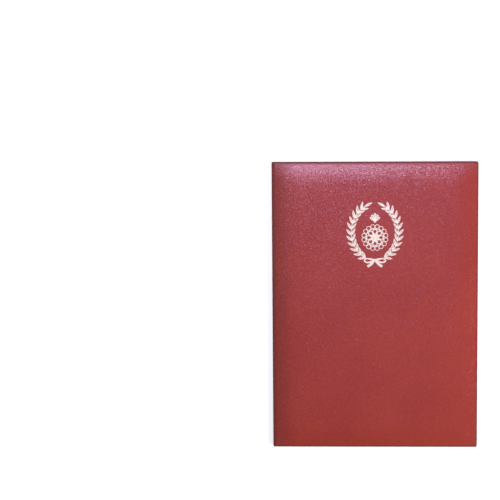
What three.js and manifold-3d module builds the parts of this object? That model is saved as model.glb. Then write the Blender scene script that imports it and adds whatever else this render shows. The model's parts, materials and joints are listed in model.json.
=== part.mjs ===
import * as THREE from 'three';
import { mergeVertices } from 'three/addons/utils/BufferGeometryUtils.js';
import Module from 'manifold-3d';

const wasm = await Module();
wasm.setup();

// A padded presentation folder, closed and lying on its back cover.
// Millimetres. +X runs from the spine to the fore edge, +Y to the head, +Z up.

// Covers
const coverHeight = 310;
const coverWidth = 216.4; // hinge side of a board to the fore edge of the covering
const boardThickness = 1.75;
const leather = 0.4;
const paper = 0.2;
const glue = 0.05; // film between two layers
const turnIn = 15; // covering folded over onto the inside
const foldGap = 1.2; // fold line to the edge of a board
const foldClear = 0.3; // fold line to the covering on either side of it
const closedGap = 1.2; // between the endpapers of the closed folder

// Padding under the front covering
const padThickness = 3;
const padEdge = 0.5; // pressed flat along the edges
const sideRoll = 25; // how far in the padding takes to reach its full thickness
const endRoll = 22;
const rollPower = 2.5;
const rollSteps = [0, 0.04, 0.12, 0.24, 0.4, 0.6, 1];

// Spine
const spineCard = 1.3;

// Endpapers and linings
const foreMargin = 4;
const headMargin = 3;
const footMargin = 4;
const stubWidth = 6.5; // right endpaper where it runs on to the front cover
const stripWidth = 10.5; // lining left bare between the stub and the left endpaper
const liningLap = 12; // lining tucked under an endpaper
const liningClear = 0.3; // lining to the turn-ins at head and foot
const paperStep = 1.5; // slope of an endpaper down from the turn-ins to the board
const stepClear = 0.5; // turn-in to the foot of that slope

// Foil ornament
const foil = 0.12;
const ornamentWidth = 63;
const ornamentHeight = 75;
const ornamentDrop = 38; // head of the folder to the top of the ornament
const leafLength = 8.6;
const leafWidth = 2.5;
const leafPitch = 5.8; // along the stem, from one pair of leaves to the next
const leafLean = 0.62; // radians from the stem
const midrib = 0.5;
const stemWidth = 0.8;
const wreathOpening = 0.42; // radians left open at the top, on each side
const rosetteRadius = 14.5;
const rosetteHub = 2.4;
const petalLength = 9.4;
const petalWidth = 5.6;
const petals = 8;
const scallops = 16;
const ringWidth = 0.7;
const finialHeight = 9;
const finialPetals = 5;
const finialSpread = 0.42; // radians between petals
const finialWidth = 2.6;
const bowWidth = 24;
const bowDrop = 8;
const bowBand = 1.2;
const bowPairs = 2; // pairs of leaves left out at the foot of each branch, less one
const motifClear = 1.6; // between neighbouring motifs

// Heights of the layers, from the table up
const spineDepth = leather + glue + spineCard + glue + leather + glue + paper;
const backBoardLow = leather + glue;
const backBoardHigh = backBoardLow + boardThickness;
const backTurnLow = backBoardHigh + glue;
const backTurnHigh = backTurnLow + leather;
const backPaperLow = backTurnHigh + glue;
const backPaperHigh = backPaperLow + paper;
const backField = backBoardHigh + glue;
const frontPaperLow = backPaperHigh + closedGap;
const frontPaperHigh = frontPaperLow + paper;
const frontTurnLow = frontPaperHigh + glue;
const frontTurnHigh = frontTurnLow + leather;
const frontBoardLow = frontTurnHigh + glue;
const frontBoardHigh = frontBoardLow + boardThickness;
const frontField = frontBoardLow - glue;
const padLow = frontBoardHigh + glue;
const edgeTop = padLow + padEdge + glue + leather;
const crownRise = padThickness - padEdge;
const closedHeight = edgeTop + crownRise;
const backFold = spineDepth; // heights of the two fold lines: the open spine lies on the table
const frontFold = closedHeight - spineDepth;

// Places across and along
const foreX = (spineDepth + foldGap + coverWidth) / 2;
const foldX = spineDepth - foreX;
const boardX = foldX + foldGap;
const skinX = foldX + foldClear;
const paperX = foldX + foldGap / 2;
const stubX = paperX + stubWidth;
const leftPaperX = stubX + stripWidth;
const headY = coverHeight / 2;
const overrun = 1; // a cutting block past the face that it cuts

const LOOKS = {
  leather: { color: 0x9f4446, roughness: 0.5 },
  paper: { color: 0xe6e8ef, roughness: 0.85 },
  board: { color: 0x9a958c, roughness: 0.9 },
  pad: { color: 0xd9d6cd, roughness: 0.95 },
  foil: { color: 0xd9b48c, roughness: 0.3, metalness: 0.9 },
};

function solid(geometry) {
  const bare = geometry.clone();
  bare.deleteAttribute('normal');
  bare.deleteAttribute('uv');
  const merged = mergeVertices(bare, 1e-4);
  return new wasm.Manifold(new wasm.Mesh({
    numProp: 3,
    vertProperties: merged.attributes.position.array,
    triVerts: new Uint32Array(merged.index.array),
  }));
}

function named(name, look, shape) {
  const mesh = shape.getMesh();
  const geometry = new THREE.BufferGeometry();
  geometry.setAttribute('position', new THREE.BufferAttribute(mesh.vertProperties, 3));
  geometry.setIndex(new THREE.BufferAttribute(mesh.triVerts, 1));
  const flat = geometry.toNonIndexed();
  flat.computeVertexNormals();
  const part = new THREE.Mesh(flat, new THREE.MeshStandardMaterial(LOOKS[look]));
  part.name = name;
  return part;
}

// Solid between two heights over a grid of lines
function gridSolid(xs, ys, lowAt, highAt) {
  const geometry = new THREE.BoxGeometry(1, 1, 1, xs.length - 1, ys.length - 1, 1);
  const position = geometry.attributes.position;
  for (let i = 0; i < position.count; i += 1) {
    const x = xs[Math.round((position.getX(i) + 0.5) * (xs.length - 1))];
    const y = ys[Math.round((position.getY(i) + 0.5) * (ys.length - 1))];
    const z = position.getZ(i) > 0 ? highAt(x, y) : lowAt(x, y);
    position.setXYZ(i, x, y, z);
  }
  return solid(geometry);
}

function block(x, y, z) {
  return gridSolid(x, y, () => z[0], () => z[1]);
}

// Crown of the padded front
function roll(share) {
  return 1 - (1 - Math.min(share, 1)) ** rollPower;
}

function crown(x, y) {
  const across = Math.min(x - skinX, foreX - x) / sideRoll;
  const along = (headY - Math.abs(y)) / endRoll;
  return crownRise * roll(across) * roll(along);
}

// Grid lines of the crown, cut to a piece that starts and ends inside it
function crownLines(from, to, length, low, high) {
  const lines = rollSteps.flatMap((step) => [from + step * length, to - step * length]);
  const inside = lines.filter((line) => line > low + glue && line < high - glue);
  return [low, ...inside.sort((a, b) => a - b), high];
}

function crowned(inset, startX, low, top) {
  const xs = crownLines(skinX, foreX, sideRoll, startX, foreX - inset);
  const ys = crownLines(-headY, headY, endRoll, inset - headY, headY - inset);
  return gridSolid(xs, ys, () => low, (x, y) => top + crown(x, y));
}

// Covers
function coverWindow(z) {
  return block([skinX - overrun, foreX - turnIn], [turnIn - headY, headY - turnIn], z);
}

function backCoverSkin() {
  const outer = block([skinX, foreX], [-headY, headY], [0, backTurnHigh]);
  const edge = headY - leather;
  const pocket = block([skinX - overrun, foreX - leather], [-edge, edge], [leather, backTurnLow]);
  return outer.subtract(pocket).subtract(coverWindow([backTurnLow - glue, backTurnHigh + overrun]));
}

function frontCoverSkin() {
  const outer = crowned(0, skinX, frontTurnLow, edgeTop);
  const pocket = crowned(leather, skinX - overrun, frontTurnHigh, edgeTop - leather);
  return outer.subtract(pocket).subtract(coverWindow([frontTurnLow - overrun, frontTurnHigh + glue]));
}

function board(low, high) {
  const inset = leather + glue;
  return block([boardX, foreX - inset], [inset - headY, headY - inset], [low, high]);
}

function frontPad() {
  return crowned(leather + glue, boardX, padLow, edgeTop - leather - glue);
}

function lining(endX, low) {
  const edge = headY - turnIn - liningClear;
  return block([boardX, endX], [-edge, edge], [low, low + leather]);
}

// Endpaper that steps from the turn-ins down to the board
function endpaper(startX, liningEndX, rim, field) {
  const low = liningEndX + stepClear;
  const high = foreX - turnIn - stepClear;
  const edge = headY - turnIn - stepClear;
  const xs = [startX, low, low + paperStep, high - paperStep, high, foreX - foreMargin];
  const ys = [footMargin - headY, -edge, paperStep - edge, edge - paperStep, edge, headY - headMargin];
  const sunk = (x, y) => x >= xs[2] && x <= xs[3] && y >= ys[2] && y <= ys[3];
  const level = (x, y) => (sunk(x, y) ? field : rim);
  return gridSolid(xs, ys, level, (x, y) => level(x, y) + paper);
}

function paperStrip(x, z) {
  return block(x, [footMargin - headY, headY - headMargin], z);
}

// Spine, standing between the two fold lines
const spineZ = [backFold + foldClear, frontFold - foldClear];
const spineOutX = foldX - spineDepth;
const cardOutX = spineOutX + leather + glue;
const spineLiningX = cardOutX + spineCard + glue;

function spineSkin() {
  const outer = block([spineOutX, spineLiningX + leather], [-headY, headY], spineZ);
  const edge = headY - leather;
  const past = [spineZ[0] - overrun, spineZ[1] + overrun];
  const pocket = block([spineOutX + leather, spineLiningX], [-edge, edge], past);
  const inside = headY - turnIn;
  const window = block([spineLiningX - glue, foldX + overrun], [-inside, inside], past);
  return outer.subtract(pocket).subtract(window);
}

function spineStrip(x, edge) {
  return block(x, [-edge, edge], spineZ);
}

// Foil ornament
const topZ = closedHeight;
const centreX = (foreX + foldX - spineDepth) / 2;
const leafReach = leafLength * Math.sin(leafLean) + leafWidth / 2;
const wreathY = headY - ornamentDrop - (ornamentHeight - bowDrop + leafReach) / 2;
const finialRise = motifClear + finialWidth / 2; // top of the rosette to the root of the finial
const rosetteY = wreathY - (finialRise + finialHeight) / 2;

function plate(shape) {
  return solid(new THREE.ExtrudeGeometry(shape, { depth: foil, bevelEnabled: false, curveSegments: 5 }));
}

function placed(geometry, x, y, turn) {
  return geometry.rotate([0, 0, THREE.MathUtils.radToDeg(turn)]).translate([x, y, 0]);
}

function joined(pieces) {
  return pieces.reduce((sum, piece) => sum.add(piece));
}

// Leaf along +X, slit along its midrib from a third of its length to near the tip
function leafShape(length, width) {
  const shape = new THREE.Shape();
  shape.moveTo(0, -midrib);
  shape.quadraticCurveTo(length * 0.45, -width, length, 0);
  shape.quadraticCurveTo(length * 0.45, width, 0, midrib);
  shape.closePath();
  const slit = new THREE.Path();
  slit.moveTo(length * 0.3, 0);
  slit.lineTo(length * 0.5, midrib / 2);
  slit.lineTo(length * 0.84, 0);
  slit.lineTo(length * 0.5, -midrib / 2);
  slit.closePath();
  shape.holes.push(slit);
  return shape;
}

// Petal along +X: narrow at its foot, round at its end, with an opening of the same form
function petalShape(length, width) {
  const outline = (path, from, to, radius) => {
    path.moveTo(from, 0);
    path.quadraticCurveTo((from + to) / 2, -radius, to - radius, -radius);
    path.absarc(to - radius, 0, radius, -Math.PI / 2, Math.PI / 2, false);
    path.quadraticCurveTo((from + to) / 2, radius, from, 0);
    return path;
  };
  const shape = new THREE.Shape();
  shape.moveTo(0, -midrib);
  shape.quadraticCurveTo(length / 2, -width / 2, length - width / 2, -width / 2);
  shape.absarc(length - width / 2, 0, width / 2, -Math.PI / 2, Math.PI / 2, false);
  shape.quadraticCurveTo(length / 2, width / 2, 0, midrib);
  shape.holes.push(outline(new THREE.Path(), length * 0.42, length - midrib * 2, width / 2 - midrib * 2));
  return shape;
}

function arcBand(radiusX, radiusY, from, to, width) {
  const outer = new THREE.EllipseCurve(0, 0, radiusX + width / 2, radiusY + width / 2, from, to);
  const inner = new THREE.EllipseCurve(0, 0, radiusX - width / 2, radiusY - width / 2, to, from, true);
  const shape = new THREE.Shape([...outer.getPoints(28), ...inner.getPoints(28)]);
  return plate(shape);
}

// Wreath: two branches that meet in a bow, each a stem with pairs of leaves and one leaf at its tip
function branch(radiusX, radiusY) {
  const from = -Math.PI / 2;
  const to = Math.PI / 2 - wreathOpening;
  const pairs = Math.floor(((to - from) * (radiusX + radiusY)) / 2 / leafPitch);
  const pieces = [arcBand(radiusX, radiusY, from, to, stemWidth)];
  const leaf = plate(leafShape(leafLength, leafWidth));
  for (let i = bowPairs; i <= pairs; i += 1) {
    const angle = from + ((to - from) * i) / pairs;
    const x = radiusX * Math.cos(angle);
    const y = radiusY * Math.sin(angle);
    const along = Math.atan2(radiusY * Math.cos(angle), -radiusX * Math.sin(angle));
    const leans = i < pairs ? [-leafLean, leafLean] : [0];
    leans.forEach((lean) => pieces.push(placed(leaf, x, y, along + lean)));
  }
  return joined(pieces);
}

function wreath() {
  const radiusX = ornamentWidth / 2 - leafReach;
  const radiusY = (ornamentHeight - bowDrop - leafReach) / 2;
  const right = branch(radiusX, radiusY);
  return joined([right, right.mirror([1, 0, 0]), bow().translate([0, -radiusY, 0])]);
}

function disc(radius, bore) {
  const shape = new THREE.Shape();
  shape.absarc(0, 0, radius, 0, Math.PI * 2);
  const hole = new THREE.Path();
  hole.absarc(0, 0, bore, 0, Math.PI * 2, true);
  shape.holes.push(hole);
  return new THREE.ExtrudeGeometry(shape, { depth: foil, bevelEnabled: false, curveSegments: 36 });
}

// Rosette: open petals round a hub, in a ring of beads held by a thin ring
function rosette() {
  const petal = plate(petalShape(petalLength, petalWidth));
  const hub = new THREE.Shape();
  hub.absarc(0, 0, rosetteHub, 0, Math.PI * 2);
  const innerRadius = petalLength + ringWidth / 2;
  const beadRadius = (rosetteRadius - innerRadius + ringWidth / 2) / 2;
  const beadShape = new THREE.Shape();
  beadShape.absarc(0, 0, beadRadius, 0, Math.PI * 2);
  const eye = new THREE.Path();
  eye.absarc(0, 0, beadRadius - ringWidth, 0, Math.PI * 2, true);
  beadShape.holes.push(eye);
  const bead = plate(beadShape);
  const pieces = [plate(hub), solid(disc(innerRadius, innerRadius - ringWidth))];
  for (let i = 0; i < petals; i += 1) {
    pieces.push(placed(petal, 0, 0, (i * 2 * Math.PI) / petals));
  }
  const beadOrbit = rosetteRadius - beadRadius;
  for (let i = 0; i < scallops; i += 1) {
    const angle = ((i + 0.5) * 2 * Math.PI) / scallops;
    pieces.push(placed(bead, beadOrbit * Math.cos(angle), beadOrbit * Math.sin(angle), angle));
  }
  return joined(pieces);
}

// Finial: a fan of round petals above the rosette
function finial() {
  const middle = (finialPetals - 1) / 2;
  const foot = new THREE.Shape();
  foot.absarc(0, 0, finialWidth / 2, 0, Math.PI * 2);
  const pieces = [plate(foot)];
  for (let i = 0; i < finialPetals; i += 1) {
    const off = i - middle;
    const length = finialHeight * (1 - 0.12 * Math.abs(off));
    pieces.push(placed(plate(petalShape(length, finialWidth)), 0, 0, Math.PI / 2 + off * finialSpread));
  }
  return joined(pieces);
}

// Bow: two open loops, two tails and a knot
function bow() {
  const loop = new THREE.Shape();
  loop.moveTo(0, -bowBand);
  loop.bezierCurveTo(bowWidth * 0.3, -bowDrop * 0.7, bowWidth * 0.55, -bowDrop * 0.3, bowWidth / 2, 0);
  loop.bezierCurveTo(bowWidth * 0.45, bowDrop * 0.45, bowWidth * 0.2, bowDrop * 0.3, 0, bowBand);
  loop.closePath();
  const eye = new THREE.Path();
  eye.moveTo(bowWidth * 0.12, 0);
  eye.quadraticCurveTo(bowWidth * 0.3, bowDrop * 0.3, bowWidth / 2 - bowBand, 0);
  eye.quadraticCurveTo(bowWidth * 0.34, -bowDrop * 0.4, bowWidth * 0.12, 0);
  loop.holes.push(eye);
  const tail = new THREE.Shape();
  tail.moveTo(-bowBand / 2, 0);
  tail.quadraticCurveTo(bowWidth * 0.08, -bowDrop * 0.7, bowWidth * 0.3, -bowDrop);
  tail.lineTo(bowWidth * 0.36, -bowDrop * 0.72);
  tail.quadraticCurveTo(bowWidth * 0.18, -bowDrop * 0.4, bowBand, 0);
  tail.closePath();
  const knot = new THREE.Shape();
  knot.absellipse(0, 0, bowBand * 1.5, bowBand * 1.2, 0, Math.PI * 2);
  const side = plate(loop).add(plate(tail));
  return joined([side, side.mirror([1, 0, 0]), plate(knot)]);
}

function pressed(name, shape, y) {
  return named(name, 'foil', shape.translate([centreX, y, topZ]));
}

// Assembly
const folder = new THREE.Group();
folder.name = 'presentation_folder';

const backCover = new THREE.Group();
const backLiningX = boardX + stubWidth + liningLap;
backCover.add(
  named('back_cover_skin', 'leather', backCoverSkin()),
  named('back_board', 'board', board(backBoardLow, backBoardHigh)),
  named('back_lining', 'leather', lining(backLiningX, backTurnLow)),
  named('back_endpaper', 'paper', endpaper(paperX, backLiningX, backPaperLow, backField)),
);

const spine = new THREE.Group();
spine.add(
  named('spine_skin', 'leather', spineSkin()),
  named('spine_card', 'board', spineStrip([cardOutX, cardOutX + spineCard], headY - leather - glue)),
  named('spine_lining', 'leather',
    spineStrip([spineLiningX, spineLiningX + leather], headY - turnIn - liningClear)),
  named('spine_endpaper', 'paper', paperStrip([foldX - paper, foldX], spineZ)),
);

const frontCover = new THREE.Group();
const frontLiningX = leftPaperX + liningLap;
frontCover.add(
  named('front_cover_skin', 'leather', frontCoverSkin()),
  named('front_board', 'board', board(frontBoardLow, frontBoardHigh)),
  named('front_pad', 'pad', frontPad()),
  named('front_lining', 'leather', lining(frontLiningX, frontTurnLow)),
  named('endpaper_stub', 'paper', paperStrip([paperX, stubX], [frontPaperLow, frontPaperHigh])),
  named('front_endpaper', 'paper', endpaper(leftPaperX, frontLiningX, frontPaperLow, frontField - paper)),
);

frontCover.add(
  pressed('foil_wreath', wreath(), wreathY),
  pressed('foil_rosette', rosette(), rosetteY),
  pressed('foil_finial', finial(), rosetteY + rosetteRadius + finialRise),
);

folder.add(backCover, spine, frontCover);

export default folder;
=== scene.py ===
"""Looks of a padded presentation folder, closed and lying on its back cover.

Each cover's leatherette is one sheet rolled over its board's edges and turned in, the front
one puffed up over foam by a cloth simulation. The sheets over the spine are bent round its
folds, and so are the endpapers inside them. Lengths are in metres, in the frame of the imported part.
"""

import json
import logging
import math
from dataclasses import dataclass, field
from enum import Enum
from typing import Callable

import bpy
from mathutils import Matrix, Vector

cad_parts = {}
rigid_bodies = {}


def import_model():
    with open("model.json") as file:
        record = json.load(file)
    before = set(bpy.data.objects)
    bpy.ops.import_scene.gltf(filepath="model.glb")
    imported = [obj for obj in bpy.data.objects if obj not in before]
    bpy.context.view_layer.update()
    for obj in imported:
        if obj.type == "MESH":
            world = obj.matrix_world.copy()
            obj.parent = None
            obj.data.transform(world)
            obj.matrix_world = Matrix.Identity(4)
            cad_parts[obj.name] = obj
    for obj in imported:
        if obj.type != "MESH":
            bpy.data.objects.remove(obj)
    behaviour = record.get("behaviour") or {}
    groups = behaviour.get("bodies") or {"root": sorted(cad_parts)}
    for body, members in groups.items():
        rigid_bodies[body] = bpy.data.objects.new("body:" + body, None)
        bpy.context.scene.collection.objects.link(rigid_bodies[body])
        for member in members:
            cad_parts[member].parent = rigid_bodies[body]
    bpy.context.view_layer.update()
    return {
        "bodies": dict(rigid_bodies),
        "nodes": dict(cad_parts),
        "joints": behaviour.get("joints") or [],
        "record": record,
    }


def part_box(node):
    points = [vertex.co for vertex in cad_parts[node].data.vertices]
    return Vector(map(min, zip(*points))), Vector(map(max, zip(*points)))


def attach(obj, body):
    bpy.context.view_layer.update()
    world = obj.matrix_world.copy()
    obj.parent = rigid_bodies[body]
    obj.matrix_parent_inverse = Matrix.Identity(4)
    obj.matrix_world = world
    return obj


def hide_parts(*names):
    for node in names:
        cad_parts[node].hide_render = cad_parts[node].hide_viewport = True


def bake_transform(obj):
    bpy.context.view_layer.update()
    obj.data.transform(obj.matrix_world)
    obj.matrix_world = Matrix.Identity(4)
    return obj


LOG = logging.getLogger("folder")
MM = 0.001
TINY = 1e-6

Test = Callable[[Vector], bool]
Point = tuple[float, float]
Triple = tuple[float, float, float]
Colour = tuple[float, float, float, float]


class Body(Enum):
    """Moving bodies of the frame."""

    BACK = "back_cover"
    SPINE = "spine"
    FRONT = "front_cover"


class Slot(Enum):
    """Material slots of the record."""

    LEATHER = "leatherette"
    PAPER = "endpaper"
    BOARD = "greyboard"
    PADDING = "padding"
    FOIL = "gold_foil"


class Element(Enum):
    """What an edit-mode selection holds."""

    POINTS = "VERT"
    EDGES = "EDGE"
    FACES = "FACE"


# Modelling helpers


def deselect() -> None:
    """Leave nothing selected, in object mode."""
    if bpy.context.object and bpy.context.object.mode != "OBJECT":
        bpy.ops.object.mode_set(mode="OBJECT")
    bpy.ops.object.select_all(action="DESELECT")


def take(piece: bpy.types.Object) -> None:
    """Make a piece the only selected and active one.

    Args:
        piece: The piece.
    """
    deselect()
    piece.select_set(True)
    bpy.context.view_layer.objects.active = piece


def open_whole(piece: bpy.types.Object) -> None:
    """Go to edit mode with all of a piece selected.

    Args:
        piece: The mesh object to edit.
    """
    take(piece)
    bpy.ops.object.mode_set(mode="EDIT")
    bpy.ops.mesh.select_all(action="SELECT")


def pick(piece: bpy.types.Object, element: Element, test: Test) -> None:
    """Select elements of a piece by place and go to edit mode.

    Args:
        piece: The mesh object to select in.
        element: Kind of element to select.
        test: Says of a point, of both ends of an edge or of a face's middle, whether it is wanted.
    """
    take(piece)
    mesh = piece.data
    for kind in (mesh.vertices, mesh.edges, mesh.polygons):
        kind.foreach_set("select", [False] * len(kind))
    if element is Element.POINTS:
        for point in mesh.vertices:
            point.select = test(point.co)
    elif element is Element.EDGES:
        for edge in mesh.edges:
            edge.select = all(test(mesh.vertices[i].co) for i in edge.vertices)
            for i in edge.vertices:
                mesh.vertices[i].select = mesh.vertices[i].select or edge.select
    else:
        for face in mesh.polygons:
            face.select = test(face.center)
    bpy.ops.object.mode_set(mode="EDIT")
    bpy.ops.mesh.select_mode(type=element.value)


def pick_edges(piece: bpy.types.Object, edges: list[int]) -> None:
    """Select edges of a piece by number and go to edit mode.

    Args:
        piece: The mesh object to select in.
        edges: Numbers of the edges.
    """
    pick(piece, Element.EDGES, lambda place: False)
    bpy.ops.object.mode_set(mode="OBJECT")
    for index in edges:
        edge = piece.data.edges[index]
        edge.select = True
        for i in edge.vertices:
            piece.data.vertices[i].select = True
    bpy.ops.object.mode_set(mode="EDIT")


def stretch(value: Triple, about: Triple) -> None:
    """Scale the selection about a point."""
    bpy.ops.transform.resize(value=value, center_override=about)


def shift(value: Triple) -> None:
    """Move the selection."""
    bpy.ops.transform.translate(value=value)


def added(name: str) -> bpy.types.Object:
    """Name the primitive that was just added.

    Args:
        name: Its new name.

    Returns:
        The primitive.
    """
    piece = bpy.context.object
    piece.name = name
    piece.data.name = name
    return piece


def lay(piece: bpy.types.Object, size: Triple, middle: Triple) -> None:
    """Give a primitive of size 1 its own size and place.

    Args:
        piece: The primitive.
        size: Its lengths along the three axes.
        middle: Where its middle goes.
    """
    open_whole(piece)
    stretch(size, (0, 0, 0))
    shift(middle)
    bpy.ops.object.mode_set(mode="OBJECT")


def grid(name: str, x: Point, y: Point, z: float, cuts: tuple[int, int]) -> bpy.types.Object:
    """Flat grid between two places across and two along.

    Args:
        name: Name of the new piece.
        x: Its two ends across.
        y: Its two ends along.
        z: Its height.
        cuts: Number of faces across and along.

    Returns:
        The grid, its face pointing up.
    """
    deselect()
    bpy.ops.mesh.primitive_grid_add(x_subdivisions=cuts[0], y_subdivisions=cuts[1], size=1)
    piece = added(name)
    lay(piece, (x[1] - x[0], y[1] - y[0], 1), ((x[0] + x[1]) / 2, (y[0] + y[1]) / 2, z))
    return piece


def strip(name: str, profile: list[Point], y: Point, cuts: int) -> bpy.types.Object:
    """Sheet swept along the folder's height from a profile across it.

    Args:
        name: Name of the new piece.
        profile: Places and heights of the profile's points, in order.
        y: Where the sheet starts and ends along.
        cuts: Number of faces along.

    Returns:
        The sheet, without thickness.
    """
    deselect()
    last = len(profile) - 1
    bpy.ops.mesh.primitive_grid_add(x_subdivisions=last, y_subdivisions=cuts, size=1)
    piece = added(name)
    for point in piece.data.vertices:
        across, height = profile[round((point.co.x + 0.5) * last)]
        along = y[0] + (point.co.y + 0.5) * (y[1] - y[0])
        point.co = (across, along, height)
    return piece


def face_out(piece: bpy.types.Object) -> None:
    """Point all faces of a closed piece outwards.

    Args:
        piece: The piece.
    """
    open_whole(piece)
    bpy.ops.mesh.remove_doubles(threshold=TINY)
    bpy.ops.mesh.normals_make_consistent(inside=False)
    bpy.ops.object.mode_set(mode="OBJECT")


def turn_over(sheet: bpy.types.Object) -> None:
    """Make the face of a sheet point the other way.

    Args:
        sheet: The sheet, without thickness.
    """
    open_whole(sheet)
    bpy.ops.mesh.flip_normals()
    bpy.ops.object.mode_set(mode="OBJECT")


def apply(piece: bpy.types.Object, kind: str, **values: object) -> None:
    """Add a modifier with these values and apply it.

    Args:
        piece: The piece to change.
        kind: The modifier's type.
        **values: Its properties.
    """
    take(piece)
    modifier = piece.modifiers.new(kind.title(), kind)
    for key, value in values.items():
        setattr(modifier, key, value)
    bpy.ops.object.modifier_apply(modifier=modifier.name)


def thicken(sheet: bpy.types.Object, thickness: float, side: float = -1) -> None:
    """Give a sheet its thickness behind its face (side -1), before it (1) or half and half (0)."""
    apply(sheet, "SOLIDIFY", thickness=thickness, offset=side, use_even_offset=True)


def smooth(piece: bpy.types.Object, degrees: float = 50) -> None:
    """Shade a piece smooth up to an angle between its faces."""
    take(piece)
    bpy.ops.object.shade_smooth_by_angle(angle=math.radians(degrees))


def clamp(value: float) -> float:
    """Value held between 0 and 1."""
    return min(max(value, 0.0), 1.0)


def ramp(value: float, span: Point) -> float:
    """0 at the start of a span and 1 at its end, straight on past both."""
    return (value - span[0]) / (span[1] - span[0])


def fade(value: float, span: Point) -> float:
    """1 up to the start of a span, 0 from its end on, smooth between."""
    share = clamp(ramp(value, span))
    return 1 - share * share * (3 - 2 * share)


def darken(piece: bpy.types.Object, rule: Callable[[Vector], float]) -> None:
    """Write how much painted shade each point of a leatherette piece takes, from 0 to 1.

    Args:
        piece: The leatherette.
        rule: Gives the share at a place.
    """
    shares = piece.data.attributes.new(name="handled", type="FLOAT", domain="POINT")
    for point, share in zip(piece.data.vertices, shares.data):
        share.value = clamp(rule(point.co))


def bezier(start: Point, first: Point, second: Point, end: Point, steps: int) -> list[Point]:
    """Points on a cubic curve.

    Args:
        start: Its start.
        first: Handle of its start.
        second: Handle of its end.
        end: Its end.
        steps: Number of stretches between the points.

    Returns:
        The points, both ends too.
    """
    corners = (start, first, second, end)
    points = []
    for i in range(steps + 1):
        t = i / steps
        weights = ((1 - t) ** 3, 3 * t * (1 - t) ** 2, 3 * t * t * (1 - t), t**3)
        points.append(tuple(sum(w * c[axis] for w, c in zip(weights, corners)) for axis in (0, 1)))
    return points


def arc(centre: Point, radii: Point, angles: Point, steps: int) -> list[Point]:
    """Points on an elliptic arc.

    Args:
        centre: Its centre.
        radii: Its radii across and up.
        angles: Where it starts and ends, in degrees from +X towards +Z.
        steps: Number of stretches between the points.

    Returns:
        The points, both ends too.
    """
    points = []
    for i in range(steps + 1):
        angle = math.radians(angles[0] + (angles[1] - angles[0]) * i / steps)
        points.append((centre[0] + radii[0] * math.cos(angle), centre[1] + radii[1] * math.sin(angle)))
    return points


# Shader helpers and groups


class Nodes:
    """Short hand for filling a node tree."""

    def __init__(self, tree: bpy.types.NodeTree) -> None:
        """Keep the tree to fill."""
        self.tree = tree

    def add(self, kind: str, **inputs: object) -> bpy.types.Node:
        """Add a node; keys with a leading underscore are its properties, the rest its inputs.

        Args:
            kind: The node's class without its ShaderNode prefix.
            **inputs: Socket names, with blanks as underscores, or i and a socket's number,
                and values or output sockets.

        Returns:
            The node.
        """
        prefix = "" if kind.startswith("NodeGroup") else "ShaderNode"
        node = self.tree.nodes.new(prefix + kind)
        for key, value in inputs.items():
            if key.startswith("_"):
                setattr(node, key[1:], value)
        for key, value in inputs.items():
            if not key.startswith("_"):
                index = int(key[1:]) if key[1:].isdigit() else key.replace("_", " ")
                self.feed(node.inputs[index], value)
        return node

    def feed(self, target: bpy.types.NodeSocket, value: object) -> None:
        """Link a socket, or set its value.

        Args:
            target: The input to feed.
            value: An output socket or a plain value.
        """
        if isinstance(value, bpy.types.NodeSocket):
            self.tree.links.new(value, target)
        else:
            target.default_value = value

    def math(self, operation: str, a: object, b: object = 0.0) -> bpy.types.NodeSocket:
        """Result of a math node."""
        return self.add("Math", _operation=operation, i0=a, i1=b).outputs[0]

    def noise(self, place: object, scale: float, detail: float) -> bpy.types.NodeSocket:
        """Value of a noise texture."""
        return self.add("TexNoise", Vector=place, Scale=scale, Detail=detail).outputs[0]

    def mix(self, share: object, a: object, b: object) -> bpy.types.NodeSocket:
        """Mix of two colours."""
        return self.add("Mix", _data_type="RGBA", i0=share, i6=a, i7=b).outputs[2]

    def span(self, value: object, low: float, high: float, to: Point = (0, 1)) -> bpy.types.NodeSocket:
        """Value moved from one span to another, clamped."""
        return self.add("MapRange", i0=value, i1=low, i2=high, i3=to[0], i4=to[1]).outputs[0]


def new_group(name: str, inputs: dict[str, object], outputs: dict[str, str]) -> bpy.types.NodeTree:
    """Make a shader group with its sockets, and nothing in it yet.

    Args:
        name: Name of the group.
        inputs: Start values of its inputs by name, a tuple for a vector.
        outputs: Kinds of its outputs by name.

    Returns:
        The group.
    """
    group = bpy.data.node_groups.new(name, "ShaderNodeTree")
    for label, value in inputs.items():
        kind = "NodeSocketVector" if isinstance(value, tuple) else "NodeSocketFloat"
        made = group.interface.new_socket(name=label, in_out="INPUT", socket_type=kind)
        made.default_value = value
    for label, kind in outputs.items():
        group.interface.new_socket(name=label, in_out="OUTPUT", socket_type=kind)
    return group


def new_material(name: str) -> tuple[bpy.types.Material, Nodes, bpy.types.Node]:
    """Make a material that has only its plain shader yet.

    Args:
        name: Name of the material.

    Returns:
        The material, its nodes and its shader.
    """
    material = bpy.data.materials.new(name)
    material.use_nodes = True
    return material, Nodes(material.node_tree), material.node_tree.nodes["Principled BSDF"]


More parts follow.
